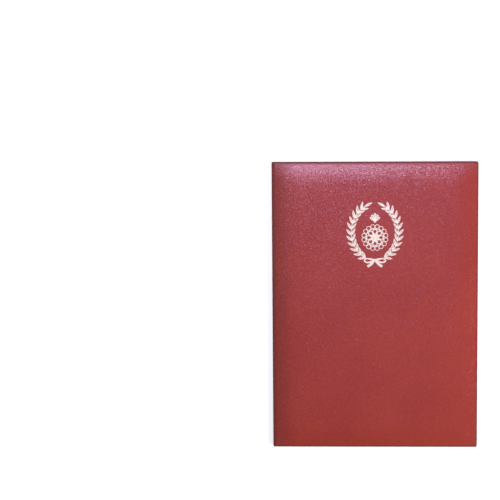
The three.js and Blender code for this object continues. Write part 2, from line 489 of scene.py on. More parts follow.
@dataclass(frozen=True)
class Grain:
    """Pebbled grain of leatherette: cells of two sizes between fine creases.

    Scales are in cells, so that one value of the cell size sets the whole grain.
    """

    warp_scale: float = 0.6
    warp: Triple = (0.5, 0.5, 0.5)
    fine_scale: float = 2.6
    tilt_scale: float = 0.62
    tilt_roughness: float = 0.8
    crease_width: float = 0.16
    crease_share: float = 0.6
    pebble_share: float = 0.35
    swell_scale: float = 0.35
    swell_share: float = 0.5

    def build(self) -> bpy.types.NodeTree:
        """Make the shader group.

        Returns:
            The group, which puts out the grain's height, its creases and its tilt.
        """
        kinds = {"Height": "NodeSocketFloat", "Crease": "NodeSocketFloat", "Tilt": "NodeSocketVector"}
        group = new_group("leather_grain", {"Vector": (0.0, 0.0, 0.0), "Cell size": 0.001}, kinds)
        nodes = Nodes(group)
        inside = nodes.add("NodeGroupInput")
        outside = nodes.add("NodeGroupOutput")
        scale = nodes.math("DIVIDE", 1.0, inside.outputs["Cell size"])
        place = nodes.add("VectorMath", _operation="SCALE", i0=inside.outputs["Vector"], i3=scale).outputs[0]
        warp = nodes.add("TexNoise", Vector=place, Scale=self.warp_scale, Detail=2.0).outputs[1]
        bent = nodes.add("VectorMath", _operation="MULTIPLY_ADD", i0=warp, i1=self.warp, i2=place).outputs[0]
        cells = nodes.add("TexVoronoi", Vector=bent, Scale=1.0, _feature="DISTANCE_TO_EDGE").outputs[0]
        fine = nodes.add("TexVoronoi", Vector=bent, Scale=self.fine_scale, _feature="F1").outputs[0]
        crease = nodes.span(cells, 0.0, self.crease_width)
        ridge = nodes.math("MULTIPLY", crease, self.crease_share)
        pebble = nodes.math("MULTIPLY", nodes.math("SUBTRACT", 1.0, fine), self.pebble_share)
        swell = nodes.math("MULTIPLY", nodes.noise(place, self.swell_scale, 2.0), self.swell_share)
        height = nodes.math("ADD", nodes.math("ADD", ridge, pebble), swell)
        nodes.feed(outside.inputs["Height"], height)
        nodes.feed(outside.inputs["Crease"], nodes.math("SUBTRACT", 1.0, crease))
        nodes.feed(outside.inputs["Tilt"], self.tilt(nodes, place))
        return group

    def tilt(self, nodes: Nodes, place: bpy.types.NodeSocket) -> bpy.types.NodeSocket:
        """Way in which each small patch leans.

        Args:
            nodes: The group's nodes.
            place: The place on the leatherette, in cells.

        Returns:
            The lean, without a length of its own.
        """
        values = {"Scale": self.tilt_scale, "Detail": 3.0, "Roughness": self.tilt_roughness}
        own = nodes.add("TexNoise", Vector=place, **values).outputs[1]
        return nodes.add("VectorMath", _operation="SUBTRACT", i0=own, i1=(0.5, 0.5, 0.5)).outputs[0]


@dataclass(frozen=True)
class Fibres:
    """Fibres of paper and board: noise stretched two ways, with flecks."""

    turns: Point = (0.4, 1.9)
    squeezes: tuple[Triple, Triple] = ((1.0, 0.12, 1.0), (0.12, 1.0, 1.0))
    fleck_span: Point = (0.66, 0.74)

    def build(self) -> bpy.types.NodeTree:
        """Make the shader group.

        Returns:
            The group, which puts out the fibres' height and the flecks.
        """
        kinds = {"Fibre": "NodeSocketFloat", "Fleck": "NodeSocketFloat"}
        group = new_group("fibres", {"Vector": (0.0, 0.0, 0.0), "Fineness": 900.0}, kinds)
        nodes = Nodes(group)
        inside = nodes.add("NodeGroupInput")
        outside = nodes.add("NodeGroupOutput")
        place, fineness = inside.outputs["Vector"], inside.outputs["Fineness"]
        runs = []
        for turn, squeeze in zip(self.turns, self.squeezes):
            mapped = nodes.add("Mapping", Vector=place, Rotation=(0, 0, turn), Scale=squeeze)
            runs.append(nodes.noise(mapped.outputs[0], fineness, 4.0))
        fleck = nodes.noise(place, fineness, 1.0)
        nodes.feed(outside.inputs["Fibre"], nodes.math("MULTIPLY", nodes.math("ADD", *runs), 0.5))
        nodes.feed(outside.inputs["Fleck"], nodes.span(fleck, *self.fleck_span))
        return group


# Finishes


@dataclass(frozen=True)
class LeatherFinish:
    """Leatherette: pebbled, with a soft satin coat that glances lilac, and painted shade in its creases and
    on its edges.
    """

    name: str
    base: Colour
    # Colour of the painted shade in the grain's creases.
    crease_shade: Colour
    warm: Colour
    # Colour of the painted shade on rolled edges, walls, turn-ins and along the spine.
    handled: Colour
    gleam: Colour
    cell: float = 0.7 * MM
    bump: float = 0.22
    depth: float = 0.07 * MM
    tilt: float = 1.05
    wave: float = 0.08 * MM
    wave_scale: float = 38.0
    cloud_scale: float = 16.0
    cloud_span: Point = (0.35, 0.7)
    crease_share: float = 0.55
    height_span: Point = (0.4, 1.1)
    roughness: Point = (0.22, 0.34)
    gloss: float = 0.7
    # How much of that painted shade colour shows, and the roughness it adds.
    handled_share: float = 0.66
    handled_roughness: float = 0.4

    def build(self, grain: bpy.types.NodeTree) -> bpy.types.Material:
        """Make the material around the shared grain group.

        Args:
            grain: The leather_grain shader group.

        Returns:
            The material.
        """
        material, nodes, shader = new_material(self.name)
        place = nodes.add("TexCoord").outputs["Object"]
        skin = nodes.add("Group", _node_tree=grain, Vector=place, Cell_size=self.cell)
        # Where shade is painted: rolled edges, walls, turn-ins and along the spine.
        handled = nodes.add("Attribute", _attribute_name="handled").outputs["Fac"]
        nodes.feed(shader.inputs["Base Color"], self.colour(nodes, place, skin, handled))
        rough = nodes.span(skin.outputs["Height"], *self.height_span, self.roughness[::-1])
        # Rougher where shade is painted.
        shaded = nodes.math("MULTIPLY", handled, self.handled_roughness)
        nodes.feed(shader.inputs["Roughness"], nodes.math("ADD", rough, shaded))
        nodes.feed(shader.inputs["Normal"], self.relief(nodes, place, skin))
        shader.inputs["Specular IOR Level"].default_value = self.gloss
        shader.inputs["Specular Tint"].default_value = self.gleam
        return material

    def colour(
        self,
        nodes: Nodes,
        place: bpy.types.NodeSocket,
        skin: bpy.types.Node,
        handled: bpy.types.NodeSocket,
    ) -> bpy.types.NodeSocket:
        """Cloudy red, with painted shade in the creases and on the edges, walls, turn-ins and spine side.

        Args:
            nodes: The material's nodes.
            place: The place on the piece.
            skin: The grain group as placed in the material.
            handled: How much painted shade the place takes.

        Returns:
            The colour.
        """
        cloud = nodes.noise(place, self.cloud_scale, 4.0)
        tone = nodes.mix(nodes.span(cloud, *self.cloud_span), self.base, self.warm)
        # Painted shade in the grain's creases.
        crease = nodes.math("MULTIPLY", skin.outputs["Crease"], self.crease_share)
        share = nodes.math("MULTIPLY", handled, self.handled_share)
        return nodes.mix(share, nodes.mix(crease, tone, self.crease_shade), self.handled)

    def relief(
        self, nodes: Nodes, place: bpy.types.NodeSocket, skin: bpy.types.Node
    ) -> bpy.types.NodeSocket:
        """Normal of the grain: leaning patches, long waves and pebbles.

        Args:
            nodes: The material's nodes.
            place: The place on the piece.
            skin: The grain group as placed in the material.

        Returns:
            The normal.
        """
        plain = nodes.add("NewGeometry").outputs["Normal"]
        tilt = (self.tilt, self.tilt, self.tilt)
        lean = nodes.add("VectorMath", _operation="MULTIPLY_ADD", i0=skin.outputs["Tilt"], i1=tilt, i2=plain)
        leaning = nodes.add("VectorMath", _operation="NORMALIZE", i0=lean.outputs[0]).outputs[0]
        swell = nodes.noise(place, self.wave_scale, 2.0)
        wave = nodes.add("Bump", Strength=1.0, Distance=self.wave, Height=swell, Normal=leaning).outputs[0]
        height = skin.outputs["Height"]
        pebbles = nodes.add("Bump", Strength=self.bump, Distance=self.depth, Height=height, Normal=wave)
        return pebbles.outputs[0]


@dataclass(frozen=True)
class FibreFinish:
    """Paper, board or wadding: matt fibres with flecks."""

    name: str
    base: Colour
    fleck: Colour
    fineness: float
    fleck_share: float
    roughness: float
    bump: float
    depth: float = 0.05 * MM
    cloud_scale: float = 20.0
    cloud_share: float = 0.25
    fibre_span: Point = (0.3, 0.7)
    smoother: float = 0.08
    rougher: float = 0.05

    def build(self, fibres: bpy.types.NodeTree) -> bpy.types.Material:
        """Make the material around the shared fibre group.

        Args:
            fibres: The fibres shader group.

        Returns:
            The material.
        """
        material, nodes, shader = new_material(self.name)
        place = nodes.add("TexCoord").outputs["Object"]
        body = nodes.add("Group", _node_tree=fibres, Vector=place, Fineness=self.fineness)
        fleck = nodes.math("MULTIPLY", body.outputs["Fleck"], self.fleck_share)
        cloud = nodes.span(nodes.noise(place, self.cloud_scale, 2.0), *self.fibre_span)
        share = nodes.math("MULTIPLY", nodes.math("MULTIPLY", cloud, self.fleck_share), self.cloud_share)
        soft = nodes.mix(share, self.base, self.fleck)
        nodes.feed(shader.inputs["Base Color"], nodes.mix(fleck, soft, self.fleck))
        to = (self.roughness - self.smoother, self.roughness + self.rougher)
        nodes.feed(shader.inputs["Roughness"], nodes.span(body.outputs["Fibre"], *self.fibre_span, to))
        relief = nodes.add("Bump", Strength=self.bump, Distance=self.depth, Height=body.outputs["Fibre"])
        nodes.feed(shader.inputs["Normal"], relief.outputs[0])
        return material


@dataclass(frozen=True)
class FoilFinish:
    """Hot-stamped foil that lies on the grain, in bright and duller patches."""

    name: str
    bright: Colour
    shade: Colour
    cell: float = 0.9 * MM
    patch_scale: float = 420.0
    patch_span: Point = (0.35, 0.65)
    roughness: Point = (0.3, 0.48)
    metallic: float = 0.5
    bump: float = 0.3
    depth: float = 0.06 * MM

    def build(self, grain: bpy.types.NodeTree) -> bpy.types.Material:
        """Make the material around the shared grain group.

        Args:
            grain: The leather_grain shader group.

        Returns:
            The material.
        """
        material, nodes, shader = new_material(self.name)
        place = nodes.add("TexCoord").outputs["Object"]
        skin = nodes.add("Group", _node_tree=grain, Vector=place, Cell_size=self.cell)
        patch = nodes.span(nodes.noise(place, self.patch_scale, 3.0), *self.patch_span)
        nodes.feed(shader.inputs["Base Color"], nodes.mix(patch, self.bright, self.shade))
        nodes.feed(shader.inputs["Roughness"], nodes.span(patch, 0.0, 1.0, self.roughness))
        shader.inputs["Metallic"].default_value = self.metallic
        relief = nodes.add("Bump", Strength=self.bump, Distance=self.depth, Height=skin.outputs["Height"])
        nodes.feed(shader.inputs["Normal"], relief.outputs[0])
        return material


CLARET = LeatherFinish(
    "claret_leatherette",
    base=(0.33, 0.0405, 0.029, 1),
    # Painted shade in the grain's creases.
    crease_shade=(0.17, 0.016, 0.012, 1),
    warm=(0.365, 0.049, 0.033, 1),
    # Painted shade for rolled edges, walls, turn-ins and the spine side.
    handled=(0.085, 0.014, 0.009, 1.0),
    gleam=(0.96, 0.76, 1.0, 1.0),
)
WHITE_PAPER = FibreFinish(
    "white_endpaper",
    base=(0.73, 0.785, 0.82, 1),
    fleck=(0.60, 0.64, 0.69, 1),
    fineness=1400.0,
    fleck_share=0.25,
    roughness=0.8,
    bump=0.12,
)
GREY_BOARD = FibreFinish(
    "grey_board",
    base=(0.30, 0.28, 0.25, 1),
    fleck=(0.12, 0.11, 0.10, 1),
    fineness=900.0,
    fleck_share=0.7,
    roughness=0.9,
    bump=0.4,
)
WADDING = FibreFinish(
    "foam_wadding",
    base=(0.72, 0.70, 0.63, 1),
    fleck=(0.5, 0.48, 0.42, 1),
    fineness=600.0,
    fleck_share=0.5,
    roughness=0.95,
    bump=0.6,
)
PALE_FOIL = FoilFinish("pale_gold_foil", bright=(1.0, 1.0, 0.88, 1), shade=(1.0, 0.8, 0.62, 1))


@dataclass
class Finishes:
    """All materials of the folder, by slot, sharing two shader groups."""

    made: dict[Slot, bpy.types.Material] = field(default_factory=dict)

    def build(self) -> None:
        """Make every material once."""
        grain = Grain().build()
        fibres = Fibres().build()
        self.made[Slot.LEATHER] = CLARET.build(grain)
        self.made[Slot.PAPER] = WHITE_PAPER.build(fibres)
        self.made[Slot.BOARD] = GREY_BOARD.build(fibres)
        self.made[Slot.PADDING] = WADDING.build(fibres)
        self.made[Slot.FOIL] = PALE_FOIL.build(grain)

    def dress(self, piece: bpy.types.Object, slot: Slot) -> None:
        """Give a piece its material.

        Args:
            piece: The piece.
            slot: Its slot.
        """
        piece.data.materials.clear()
        piece.data.materials.append(self.made[slot])


# Pieces


@dataclass(frozen=True)
class Rider:
    """Piece that moves with one body, and the CAD node that it stands for."""

    piece: bpy.types.Object
    body: Body
    slot: Slot
    node: str | None = None

    def place(self) -> None:
        """Put the piece on its body."""
        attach(self.piece, self.body.value)


@dataclass(frozen=True)
class Bend:
    """Sheet that bends between two places from one body to the next."""

    piece: bpy.types.Object
    bodies: tuple[Body, Body]
    places: tuple[Triple, Triple]
    slot: Slot
    node: str | None = None

    def place(self) -> None:
        """Bake the sheet's place into its points; it is not tied to its two bodies."""
        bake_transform(self.piece)


@dataclass(frozen=True)
class Gauge:
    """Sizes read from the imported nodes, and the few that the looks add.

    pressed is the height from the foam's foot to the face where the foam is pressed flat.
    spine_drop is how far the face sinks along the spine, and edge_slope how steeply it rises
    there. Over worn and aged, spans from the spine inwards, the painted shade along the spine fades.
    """

    front_low: Vector
    front_high: Vector
    back_low: Vector
    back_high: Vector
    pad_foot: float
    spine_x: float
    fold_x: float
    back_fold: float
    front_fold: float
    leather: float = 0.4 * MM
    paper: float = 0.2 * MM
    glue: float = 0.05 * MM
    pressed: float = 0.95 * MM
    turn_in: float = 15 * MM
    edge_radius: float = 1.1 * MM
    edge_slope: float = 0.17
    spine_drop: float = 0.5 * MM
    # Two spans and a share of painted shade along the spine, strong then faint.
    shaded: Point = (1.6 * MM, 7.0 * MM)
    faintly_shaded: Point = (12.0 * MM, 24.0 * MM)
    faint_shade_share: float = 0.3

    @classmethod
    def read(cls, joints: list[dict]) -> "Gauge":
        """Take the covers' boxes and the fold lines from the frame.

        Args:
            joints: The frame's joints.

        Returns:
            The gauge.
        """
        front_low, front_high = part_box("front_cover_skin")
        back_low, back_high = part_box("back_cover_skin")
        places = {joint["name"]: joint["pos_m"] for joint in joints}
        return cls(
            front_low=front_low,
            front_high=front_high,
            back_low=back_low,
            back_high=back_high,
            pad_foot=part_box("front_pad")[0].z,
            spine_x=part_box("spine_skin")[0].x,
            fold_x=places["spine_fold"][0],
            back_fold=places["spine_fold"][2],
            front_fold=places["front_fold"][2],
        )

    @property
    def head(self) -> float:
        """Place of the head along; the tail lies as far the other way."""
        return self.front_high.y

    @property
    def top(self) -> float:
        """Height of the front's crown."""
        return self.front_high.z

    @property
    def edge_top(self) -> float:
        """Height of the front's face where it is pressed flat along its edges."""
        return self.pad_foot + self.pressed

    @property
    def spine_middle(self) -> float:
        """Height at which the two sheets over the spine meet."""
        return (self.back_fold + self.front_fold) / 2

    def spine_shade(self, place: Vector) -> float:
        """Painted shade on the leatherette from the spine's outside inwards, from 1 to 0."""
        inside = place.x - self.spine_x
        return max(fade(inside, self.shaded), self.faint_shade_share * fade(inside, self.faintly_shaded))


@dataclass
class CoverSheet:
    """Leatherette over one cover: its face, rolled edges, walls and turn-ins.

    up is 1 where the face points up and -1 where it points down. inward gives the steps of
    the turn-in as shares of its width, and fold_room and fold_depth how far walls and turn-ins
    stay off the fold line, and from what depth under the face. Over edge_dark and wall_dark,
    spans in edge radii past the face and below it, the leatherette darkens with painted shade.
    """

    gauge: Gauge
    low: Vector
    high: Vector
    up: int
    roll_steps: int = 5
    inner_radius: float = 0.55 * MM
    inward: Triple = (0.25, 0.6, 1.0)
    corner: float = 1.6 * MM
    fold_room: float = 0.8 * MM
    fold_depth: float = 1.3 * MM
    edge_dark: Point = (-0.6, 0.6)
    wall_dark: Point = (0.3, 0.9)

    @property
    def face_level(self) -> float:
        """Height of the face along its outer edges."""
        return self.gauge.edge_top if self.up > 0 else self.low.z

    def face_span(self) -> tuple[Point, Point]:
        """Flat part of the face: its ends across and along."""
        radius = self.gauge.edge_radius
        return (self.low.x, self.high.x - radius), (self.low.y + radius, self.high.y - radius)

    def rolled_path(self) -> list[Point]:
        """Path of the leatherette from the face's edge: round, down, round and in.

        Returns:
            How far out and how far down its points lie.
        """
        radius, small = self.gauge.edge_radius, self.inner_radius
        foot = self.low.z if self.up > 0 else self.high.z
        drop = abs(self.face_level - foot)
        turns = [math.pi / 2 * (i + 1) / self.roll_steps for i in range(self.roll_steps)]
        path = [(radius * math.sin(turn), radius * (1 - math.cos(turn))) for turn in turns]
        path.append((radius, drop - small))
        for turn in turns:
            path.append((radius - small * (1 - math.cos(turn)), drop - small + small * math.sin(turn)))
        for share in self.inward:
            path.append((radius - small - (self.gauge.turn_in - small) * share, drop))
        return path

    def roll_over(self, piece: bpy.types.Object) -> None:
        """Carry the face on over the three outer edges.

        Args:
            piece: The face, a sheet that lies at the face level along those edges.
        """
        (x0, x1), (y0, y1) = self.face_span()
        pick_edges(piece, self.outer_edges(piece, x0))
        reach, fall = 0.0, 0.0
        for out, down in self.rolled_path():
            wide, tall = x1 - x0 + reach, y1 - y0 + 2 * reach
            step = (0, 0, -self.up * (down - fall))
            bpy.ops.mesh.extrude_region_move(TRANSFORM_OT_translate={"value": step})
            stretch(
                ((x1 - x0 + out) / wide, (y1 - y0 + 2 * out) / tall, 1),
                (x0, (y0 + y1) / 2, 0),
            )
            reach, fall = out, down
        bpy.ops.object.mode_set(mode="OBJECT")

    @staticmethod
    def outer_edges(piece: bpy.types.Object, start: float) -> list[int]:
        """Boundary edges of a sheet, but for those along its side towards the spine.

        Args:
            piece: The sheet.
            start: Place across of that side.

        Returns:
            The edges' numbers.
        """
        mesh = piece.data
        uses: dict[tuple[int, int], int] = {}
        for face in mesh.polygons:
            for key in face.edge_keys:
                uses[key] = uses.get(key, 0) + 1
        found = []
        for edge in mesh.edges:
            outer = any(mesh.vertices[i].co.x > start + TINY for i in edge.vertices)
            if uses.get(tuple(sorted(edge.vertices)), 0) == 1 and outer:
                found.append(edge.index)
        return found

    def round_corners(self, piece: bpy.types.Object) -> None:
        """Round the face's two outer corners in plan.

        Args:
            piece: The face, before its edges are rolled over.
        """
        (_, x1), (y0, y1) = self.face_span()
        slack = 10 * TINY

        def is_corner(point: Vector) -> bool:
            """Whether a point is one of the two outer corners."""
            return point.x > x1 - slack and (point.y < y0 + slack or point.y > y1 - slack)

        pick(piece, Element.POINTS, is_corner)
        bpy.ops.mesh.bevel(offset=self.corner, affect="VERTICES", segments=4)
        bpy.ops.object.mode_set(mode="OBJECT")

    def clear_fold(self, piece: bpy.types.Object) -> None:
        """Draw walls and turn-ins back from the fold, where the endpaper goes down into it.

        Args:
            piece: The leatherette, rolled over.
        """
        edge = self.low.x + self.fold_room
        for point in piece.data.vertices:
            if self.up * (self.face_level - point.co.z) > self.fold_depth and point.co.x < edge:
                point.co.x = edge

    def shade_at(self, place: Vector) -> float:
        """How much painted shade the leatherette takes at a place: on the rolled edges, the walls and
        inside, and along the spine.

        Args:
            place: The place.

        Returns:
            1 or more where it is darkest, 0 or less where it is not dark.
        """
        (_, x1), (y0, y1) = self.face_span()
        over = max(place.x - x1, place.y - y1, y0 - place.y) / self.gauge.edge_radius
        below = self.up * (self.face_level - place.z) / self.gauge.edge_radius
        return max(ramp(over, self.edge_dark), ramp(below, self.wall_dark), self.gauge.spine_shade(place))


@dataclass
class FrontCover(CoverSheet):
    """Padded front: a simulation puffs the face up, and the foam's crown then holds it.

    The three rolls are how far in the foam takes to reach its full height, from the spine,
    the fore edge and the ends. crest is how far from the head the blown height is taken.
    """

    cuts: tuple[int, int] = (54, 76)
    pressure: float = 4.0
    stiffness: float = 20.0
    frames: int = 20
    crest: float = 24 * MM
    spine_roll: float = 45 * MM
    fore_roll: float = 28 * MM
    end_roll: float = 24 * MM
    foam_power: float = 2.0
    spine_power: float = 4.0
    blown_share: float = 0.25
    foam_cuts: tuple[int, int] = (44, 60)
    foam_start: float = 5 * MM
    foam_clear: float = 0.03 * MM
    foam_least: float = 0.05 * MM
    above: float = 30 * MM

    def build(self) -> bpy.types.Object:
        """Make the padded leatherette.

        Returns:
            The finished piece.
        """
        across, along = self.face_span()
        piece = grid("front_cover_padded", across, along, self.face_level, self.cuts)
        self.inflate(piece)
        self.settle(piece)
        apply(piece, "SUBSURF", levels=1, render_levels=1, boundary_smooth="PRESERVE_CORNERS")
        self.round_corners(piece)
        self.roll_over(piece)
        self.sink_spine_side(piece)
        self.clear_fold(piece)
        thicken(piece, self.gauge.leather)
        # Painted shade on the rolled edges, walls, turn-ins and spine side.
        darken(piece, self.shade_at)
        smooth(piece)
        return piece

    def inflate(self, piece: bpy.types.Object) -> None:
        """Blow the face up like a cushion pinned along its four edges.

        Args:
            piece: The flat face.
        """
        (x0, x1), (y0, y1) = self.face_span()
        pins = piece.vertex_groups.new(name="pins")
        edge = [
            point.index
            for point in piece.data.vertices
            if not (x0 + TINY < point.co.x < x1 - TINY and y0 + TINY < point.co.y < y1 - TINY)
        ]
        pins.add(edge, 1.0, "ADD")
        take(piece)
        cloth = piece.modifiers.new("Cloth", "CLOTH")
        cloth.settings.vertex_group_mass = pins.name
        cloth.settings.use_pressure = True
        cloth.settings.uniform_pressure_force = self.pressure
        cloth.settings.quality = 6
        cloth.settings.tension_stiffness = self.stiffness
        cloth.settings.compression_stiffness = self.stiffness
        cloth.settings.effector_weights.gravity = 0
        cloth.point_cache.frame_start = 1
        cloth.point_cache.frame_end = self.frames
        for frame in range(1, self.frames + 1):
            bpy.context.scene.frame_set(frame)
        bpy.ops.object.modifier_apply(modifier=cloth.name)
        bpy.context.scene.frame_set(1)
        piece.vertex_groups.clear()

    def settle(self, piece: bpy.types.Object) -> None:
        """Let the face lie on the foam's crown, with a share of its own blown shape.
        """
        across, along = self.face_span()
        base = self.face_level
        rise = self.gauge.top - base
        crest = Vector(((across[0] + across[1]) / 2, along[1] - self.crest))
        points = piece.data.vertices
        full = min(points, key=lambda point: (point.co.xy - crest).length).co.z - base
        for point in points:
            foam = self.foam_share(point.co, across, along)
            blown = clamp((point.co.z - base) / full) if full > TINY else foam
            share = foam + self.blown_share * (1 - foam) * blown * foam
            point.co.z = base + rise * share

    def foam_share(self, place: Vector, across: Point, along: Point) -> float:
        """Height of the foam's crown under the leatherette.

        Args:
            place: Where it is wanted.
            across: Ends of the face across.
            along: Ends of the face along.

        Returns:
            The height as a share of the plateau's.
        """
        spine = (place.x - across[0]) / self.spine_roll
        fore = (across[1] - place.x) / self.fore_roll
        end = min(place.y - along[0], along[1] - place.y) / self.end_roll
        height = 1 - (1 - clamp(spine)) ** self.spine_power
        for part in (fore, end):
            height *= 1 - (1 - clamp(part)) ** self.foam_power
        return height

    def sink_spine_side(self, piece: bpy.types.Object) -> None:
        """Press the face down along the spine, where the foam is pinched to nothing.

        Args:
            piece: The leatherette, rolled over.
        """
        (x0, _), _ = self.face_span()
        for point in piece.data.vertices:
            near = 1 - clamp((point.co.x - x0) / self.spine_roll)
            high = clamp((point.co.z - self.low.z) / (self.face_level - self.low.z))
            point.co.z -= self.gauge.spine_drop * near**2 * high

    def foam(self, leather: bpy.types.Object) -> bpy.types.Object:
        """Foam pad that fills the room between the board and the leatherette.

        Args:
            leather: The finished leatherette of this cover.

        Returns:
            The finished pad.
        """
        g = self.gauge
        low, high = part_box("front_pad")
        inset = g.edge_radius - g.leather
        along = (low.y + inset, high.y - inset)
        piece = grid("foam_pad", (low.x, high.x - inset), along, low.z, self.foam_cuts)
        pick(piece, Element.FACES, lambda place: True)
        bpy.ops.mesh.extrude_region_move(TRANSFORM_OT_translate={"value": (0, 0, self.foam_start)})
        bpy.ops.object.mode_set(mode="OBJECT")
        down = Vector((0, 0, -1))
        for point in piece.data.vertices:
            if point.co.z > low.z + self.foam_start / 2:
                hit, place, _, _ = leather.ray_cast(Vector((point.co.x, point.co.y, self.above)), down)
                top = place.z if hit else g.edge_top
                point.co.z = max(top - g.leather - self.foam_clear, low.z + self.foam_least)
        face_out(piece)
        smooth(piece)
        return piece


@dataclass
class BackCover(CoverSheet):
    """Plain back: flat leatherette over board, face down."""

    cuts: tuple[int, int] = (20, 28)

    def build(self) -> bpy.types.Object:
        """Make the back's leatherette.

        Returns:
            The finished piece.
        """
        across, along = self.face_span()
        piece = grid("back_cover_leather", across, along, self.face_level, self.cuts)
        self.round_corners(piece)
        self.roll_over(piece)
        self.clear_fold(piece)
        turn_over(piece)
        thicken(piece, self.gauge.leather)
        # Painted shade on the rolled edges, walls, turn-ins and spine side.
        darken(piece, self.shade_at)
        smooth(piece)
        return piece


@dataclass
class Spine:
    """Leatherette over the spine and its two folds, turned in over the card at both ends.

    run and reach are the lengths of a bend's handles, along a cover and up the spine, and
    back_rise and front_rise where the bends end on the spine, from the back fold and from
    the spine's middle. card_foot and card_top keep what is inside off the bends.
    """

    gauge: Gauge
    cuts: int = 60
    bend_steps: int = 10
    reach: float = 1.35 * MM
    run: float = 1.6 * MM
    back_rise: float = 0.35 * MM
    front_rise: float = 0.5 * MM
    front_hold: float = 0.6 * MM
    end_radius: float = 0.33 * MM
    end_roll: float = 0.68 * MM
    card_foot: float = 0.35 * MM
    card_top: float = 1.1 * MM
    card_ease: float = 0.4 * MM
    strip_ease: float = 0.12 * MM

    def back_fold(self) -> bpy.types.Object:
        """Make the sheet from the back cover round to the middle of the spine.

        Returns:
            The finished piece.
        """
        g = self.gauge
        start = (g.back_low.x, 0.0)
        end = (g.spine_x, g.back_fold + self.back_rise)
        before = (end[0], end[1] - self.reach)
        bend = bezier(start, (start[0] - self.run, 0.0), before, end, self.bend_steps)
        return self.wrap("spine_leather_back", bend + [(g.spine_x, g.spine_middle)])

    def front_fold(self) -> bpy.types.Object:
        """Make the sheet from the middle of the spine on to the front cover, into its crown.

        Returns:
            The finished piece.
        """
        g = self.gauge
        start = (g.spine_x, g.spine_middle + self.front_rise)
        end = (g.front_low.x, g.edge_top - g.spine_drop)
        before = (end[0] - self.run, end[1] - self.run * g.edge_slope)
        bend = bezier(start, (start[0], start[1] + self.reach), before, end, self.bend_steps)
        return self.wrap("spine_leather_front", [(g.spine_x, g.spine_middle)] + bend)

    def wrap(self, name: str, profile: list[Point]) -> bpy.types.Object:
        """Sweep a profile along the spine, its two ends doubled where they are turned in.

        Args:
            name: Name of the new piece.
            profile: Outside of the sheet, from the back cover's side to the front cover's.

        Returns:
            The finished piece.
        """
        g = self.gauge
        piece = strip(name, profile, (-g.head, g.head), self.cuts)
        outside = len(piece.data.vertices)
        doubled = piece.vertex_groups.new(name="doubled")
        for point in piece.data.vertices:
            turned = abs(point.co.y) > g.head - g.turn_in
            doubled.add([point.index], 1.0 if turned else 0.0, "ADD")
        apply(
            piece,
            "SOLIDIFY",
            thickness=2 * g.leather,
            offset=-1,
            vertex_group=doubled.name,
            thickness_vertex_group=0.5,
        )
        piece.vertex_groups.clear()
        self.ease_ends(piece, outside)
        # Painted shade along the spine.
        darken(piece, g.spine_shade)
        smooth(piece)
        return piece

    def ease_ends(self, piece: bpy.types.Object, outside: int) -> None:
        """Round the outer edges of a doubled sheet over at the head and at the tail.

        Args:
            piece: The sheet, thickened.
            outside: How many of its first points lie on the outside.
        """
        points = piece.data.vertices
        ends = [
            edge.index
            for edge in piece.data.edges
            if all(i < outside and abs(points[i].co.y) > self.gauge.head - TINY for i in edge.vertices)
        ]
        pick_edges(piece, ends)
        bpy.ops.mesh.bevel(offset=self.end_roll, segments=5, affect="EDGES")
        bpy.ops.object.mode_set(mode="OBJECT")

    def turn_in(self, name: str, way: int) -> bpy.types.Object:
        """Leatherette folded over the card at one end of the spine and pasted down inside.

        Args:
            name: Name of the new piece.
            way: 1 at the head, -1 at the tail.

        Returns:
            The finished piece.
        """
        g = self.gauge
        low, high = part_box("spine_skin")
        start, end = low.x + self.end_roll, high.x - g.leather / 2
        foot, top = low.z + self.card_foot, high.z - self.card_top
        piece = strip(name, [(start, 0.0), (end, 0.0)], (foot, top), 4)
        for point in piece.data.vertices:
            point.co = (point.co.x, way * (g.head - g.leather / 2 - g.glue), point.co.y)
        pick(piece, Element.EDGES, lambda place: place.x > end - TINY)
        inward = (0, -way * (g.turn_in - g.leather), 0)
        bpy.ops.mesh.extrude_region_move(TRANSFORM_OT_translate={"value": inward})
        bpy.ops.object.mode_set(mode="OBJECT")
        pick(piece, Element.EDGES, lambda place: place.x > end - TINY and way * place.y > g.head - g.leather)
        bpy.ops.mesh.bevel(offset=self.end_radius, segments=4, affect="EDGES")
        bpy.ops.object.mode_set(mode="OBJECT")
        thicken(piece, g.leather, 0)
        face_out(piece)
        # Full painted shade, as on the turn-ins inside the covers.
        darken(piece, lambda place: 1.0)
        smooth(piece)
        return piece

    def insert(self, name: str, node: str, ends: float, ease: float) -> bpy.types.Object:
        """Strip inside the spine, low enough to clear the leatherette that bends over it.

        Args:
            name: Name of the new piece.
            node: The CAD node whose place it takes.
            ends: How much shorter it is at the head and at the tail.
            ease: Radius of its edges.

        Returns:
            The finished piece.
        """
        low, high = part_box(node)
        low, high = low + Vector((0, ends, self.card_foot)), high - Vector((0, ends, self.card_top))
        deselect()
        bpy.ops.mesh.primitive_cube_add(size=1)
        piece = added(name)
        lay(piece, tuple(high - low), tuple((low + high) / 2))
        apply(piece, "BEVEL", width=ease, segments=3, limit_method="ANGLE")
        # Full painted shade, as on the turn-ins inside the covers.
        darken(piece, lambda place: 1.0)
        smooth(piece)
        return piece

    def riders(self) -> list[Rider]:
        """Make what moves with the spine alone: card, inner strip and turn-ins.

        Returns:
            The pieces.
        """
        card = self.insert("spine_stiffener", "spine_card", self.gauge.leather, self.card_ease)
        inner = self.insert("spine_inner_strip", "spine_lining", 0.0, self.strip_ease)
        head = self.turn_in("spine_head_turn_in", 1)
        tail = self.turn_in("spine_tail_turn_in", -1)
        return [
            Rider(card, Body.SPINE, Slot.BOARD, "spine_card"),
            Rider(inner, Body.SPINE, Slot.LEATHER, "spine_lining"),
            Rider(head, Body.SPINE, Slot.LEATHER),
            Rider(tail, Body.SPINE, Slot.LEATHER),
        ]

